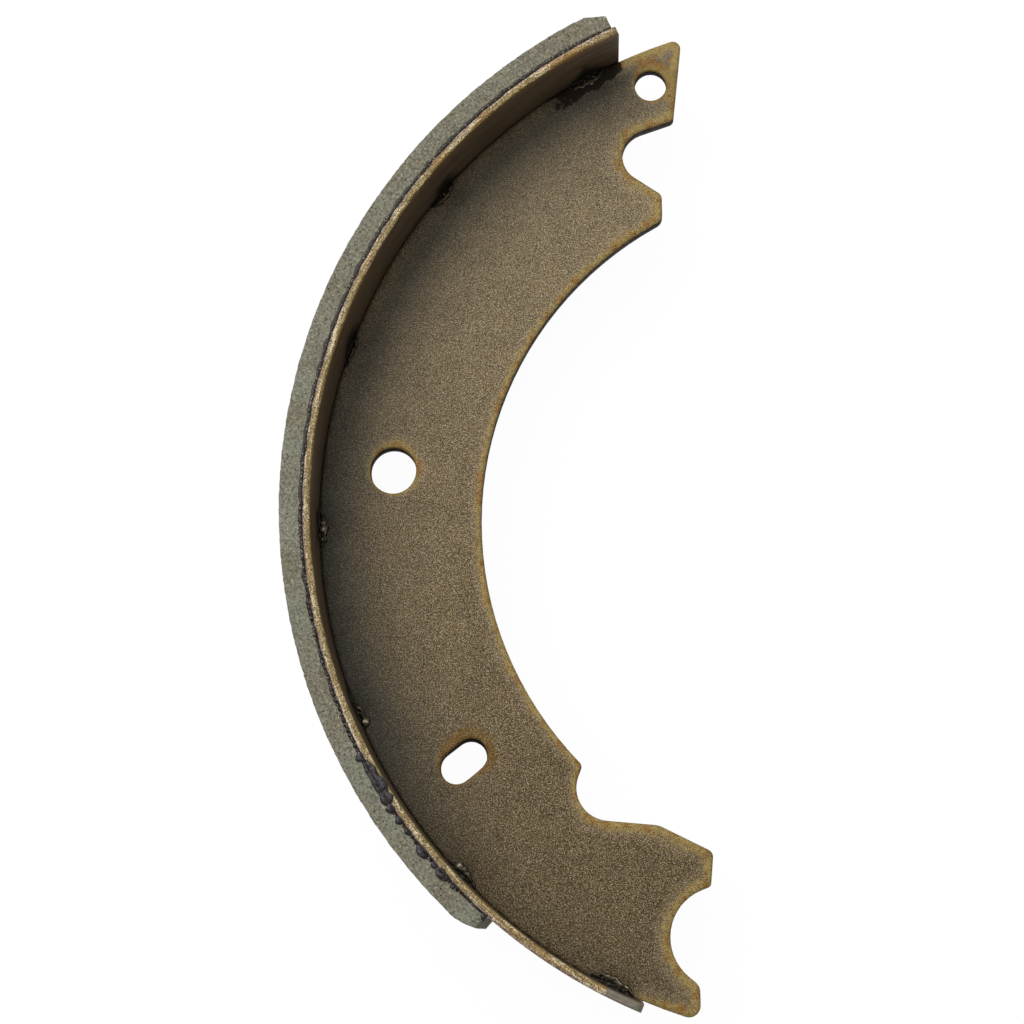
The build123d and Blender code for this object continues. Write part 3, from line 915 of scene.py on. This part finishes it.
class SHOE_OT_welds(bpy.types.Operator):
    """Throws up the crusted lips of the seven welds on the web's faces"""

    bl_idname = "brake_shoe.welds"
    bl_label = "Welds"

    sunk = -0.15  # height of the crust where it shows none, in mm
    # Lip of each weld, from the anchor end up: half its length, its reach over the web, its
    # height and its shift towards the adjuster end, in mm
    lips = (
        (6.4, 2.7, 1.3, 0.0),
        (4.9, 1.5, 0.9, -2.4),
        (4.2, 1.6, 0.8, -2.4),
        (5.0, 2.2, 1.0, -1.7),
        (5.2, 1.3, 0.8, -2.0),
        (4.6, 2.1, 1.0, -2.3),
        (5.6, 2.5, 1.1, -1.4),
    )
    # Drops that froze on the lips: the weld, the place along its lip, the distance from the
    # wall and the radius, in mm
    drops = (
        (2, 2.6, 1.6, 1.25),
        (2, 0.9, 2.0, 0.9),
        (2, -0.7, 1.9, 0.7),
        (3, 2.0, 1.2, 0.8),
        (3, -2.2, 1.5, 1.25),
        (4, 2.0, 1.3, 1.0),
        (4, 0.3, 1.3, 1.1),
        (4, -2.6, 1.0, 0.8),
        (6, 0.4, 0.9, 0.7),
        (7, 2.2, 1.2, 0.7),
    )

    def execute(self, context):
        sizes, colours, axis = settings()
        low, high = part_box("web")
        wall = sizes.rim_outer - sizes.rim_thickness
        finish = weld_finish(colours)
        for count, angle in enumerate(weld_angles(sizes), start=1):
            mesh = bmesh.new()
            half = sizes.weld_length / 2 / wall
            bounds = ((wall - sizes.web_gap, wall), (low.z, high.z), (angle - half, angle + half))
            sweep(mesh, axis, *bounds, 0.05 * MM, (MM, MM), MM)
            for level, up in ((high.z, 1), (low.z, -1)):
                take_in(mesh, self.lip(axis, sizes, count, angle, level, up))
            rise = mesh.verts.layers.float.new("rise")
            for vert in mesh.verts:
                above = max(vert.co.z - high.z, low.z - vert.co.z, 0)
                vert[rise] = min(above / (1.2 * MM), 1)
            finish_piece(mesh, "weld_flash", [finish], [f"weld_{count}"], 70, f"_{count}")
        return {"FINISHED"}

    def lip(self, axis, sizes, count, angle, level, up):
        """The crust that one weld threw up on one face of the web."""
        half, reach, _, shift = self.lips[count - 1]
        wall = sizes.rim_outer - sizes.rim_thickness
        middle = angle + shift * MM / wall
        turned = (half + 0.6) * MM / wall
        radii = (wall - (1.5 * reach + 1.2) * MM, wall)
        heights = sorted((level - up * 0.4 * MM, level))
        angles = (middle - turned, middle + turned)
        mesh = bmesh.new()
        sweep(mesh, axis, radii, heights, angles, 0.03 * MM, (0.17 * MM, MM), 0.2 * MM)
        for vert in mesh.verts:
            if up * (vert.co.z - level) > -0.1 * MM:
                turn_to, radius = polar(axis, vert.co)
                out = max(wall - radius, 0) / MM
                height = self.lip_height(count, up, (turn_to - middle) * wall / MM, out)
                vert.co.z = level + up * height * MM
        return mesh

    def lip_height(self, count, up, along, out):
        """The height of the crust in mm: a burnt hollow by the wall, a crest, a steep fall."""
        half, reach, tall, _ = self.lips[count - 1]
        seed = 7.3 * count + 3.1 * up
        crescent = sqrt(max(1 - (along / half) ** 2, 0))
        wander = 1 + 0.4 * waver(along / 1.7, seed, 0)
        wander += 0.06 * waver(along / 0.6, seed, 4)
        crest_at = reach * crescent * wander
        crest = tall * (0.35 + 0.65 * crescent)
        crest *= 1 + 0.4 * waver(along / 1.2, seed, 9)
        height = self.sunk
        if crest_at > 0.1:
            if out < crest_at:
                rough = 0.2 * waver(along / 1.1, out / 0.5, seed)
                height = crest * (0.15 + 0.85 * (out / crest_at) ** 2.5) + rough
            else:
                height = crest * (1 - (out - crest_at) / 0.45)
        for weld, at, away, radius in self.drops:
            room = radius**2 - (along - at) ** 2 - (out - away) ** 2
            if weld == count and room > 0:
                height = max(height, 0.9 * sqrt(room))
        return max(height, self.sunk)


class SHOE_OT_stage(bpy.types.Operator):
    """Sets the pale floor, the soft lamp, the sky and the camera"""

    bl_idname = "brake_shoe.stage"
    bl_label = "Stage"

    def execute(self, context):
        stage, colours, scene = context.scene.shoe_stage, context.scene.shoe_colours, context.scene
        mesh = bmesh.new()
        bmesh.ops.create_grid(mesh, x_segments=1, y_segments=1, size=4.0)
        data = to_data(mesh, "floor")
        data.materials.append(self.floor_finish(colours))
        floor = new_object("floor", data)
        self.set_sky(scene, stage)
        lamp = bpy.data.lights.new("softbox", "AREA")
        lamp.energy = stage.key
        lamp.shape = "DISK"
        lamp.size = stage.key_size
        softbox = new_object("softbox", lamp)
        softbox.location = (-0.45, 0.55, 1.2)
        softbox.rotation_euler = (-softbox.location).to_track_quat("-Z", "Y").to_euler()
        view = bpy.data.cameras.new("camera")
        view.lens = stage.lens
        camera = new_object("camera", view)
        camera.location = stage.camera_place
        camera.rotation_euler = stage.camera_turn
        scene.camera = camera
        scene.view_settings.view_transform = "Standard"
        return {"FINISHED"}

    def floor_finish(self, colours):
        """Matt paper that shows white and keeps a faint shadow."""
        material, tree = new_finish("paper_floor", 0.0, 0.9)
        shader = tree.nodes["Principled BSDF"]
        shader.inputs["Base Color"].default_value = [*(0.8 * c for c in colours.floor[:3]), 1]
        path = add(tree, "LightPath").node.outputs
        seen = path["Is Camera Ray"]
        for kind in ("Is Glossy Ray", "Is Transmission Ray"):
            seen = add(tree, "Math", (seen, path[kind]), "MAXIMUM")
        share = add(tree, "Math", (seen, 0.95), "MULTIPLY")
        glow = add(tree, "Emission", {"Color": colours.floor, "Strength": 1.02})
        both = add(tree, "MixShader", (share, shader.outputs[0], glow))
        tree.links.new(both, tree.nodes["Material Output"].inputs["Surface"])
        return material

    def set_sky(self, scene, stage):
        """An even sky that shows white and lights the shoe less."""
        world = bpy.data.worlds.new("studio")
        world.use_nodes = True
        tree = world.node_tree
        background = tree.nodes["Background"]
        background.inputs["Color"].default_value = (1, 1, 1, 1)
        seen = add(tree, "LightPath", out="Is Camera Ray")
        strength = add(tree, "MapRange", (seen, 0.0, 1.0, stage.sky, 1.0))
        tree.links.new(strength, background.inputs["Strength"])
        scene.world = world


class SHOE_PT_panel(bpy.types.Panel):
    """Lists the pieces, sizes, colours and stage in the sidebar"""

    bl_label = "Brake Shoe"
    bl_space_type = "VIEW_3D"
    bl_region_type = "UI"
    bl_category = "Brake Shoe"

    def draw(self, context):
        for operator in OPERATORS:
            self.layout.operator(operator.bl_idname)
        for name in GROUPS:
            group, box = getattr(context.scene, name), self.layout.box()
            for field in group.__annotations__:
                box.prop(group, field)


PIECES = (SHOE_OT_web, SHOE_OT_rim, SHOE_OT_lining, SHOE_OT_adhesive, SHOE_OT_welds)
OPERATORS = (*PIECES, SHOE_OT_stage)
GROUPS = {"shoe_sizes": ShoeSizes, "shoe_colours": ShoeColours, "shoe_stage": ShoeStage}


def register():
    """Adds the classes and the settings."""
    for kind in (*GROUPS.values(), *OPERATORS, SHOE_PT_panel):
        bpy.utils.register_class(kind)
    for name, group in GROUPS.items():
        setattr(bpy.types.Scene, name, bpy.props.PointerProperty(type=group))


def unregister():
    """Takes them away again."""
    for name in GROUPS:
        delattr(bpy.types.Scene, name)
    for kind in (SHOE_PT_panel, *reversed(OPERATORS), *reversed(GROUPS.values())):
        bpy.utils.unregister_class(kind)


def main():
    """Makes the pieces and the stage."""
    register()
    bpy.ops.brake_shoe.web()
    bpy.ops.brake_shoe.rim()
    bpy.ops.brake_shoe.lining()
    bpy.ops.brake_shoe.adhesive()
    bpy.ops.brake_shoe.welds()
    bpy.ops.brake_shoe.stage()


if __name__ == "__main__":
    main()
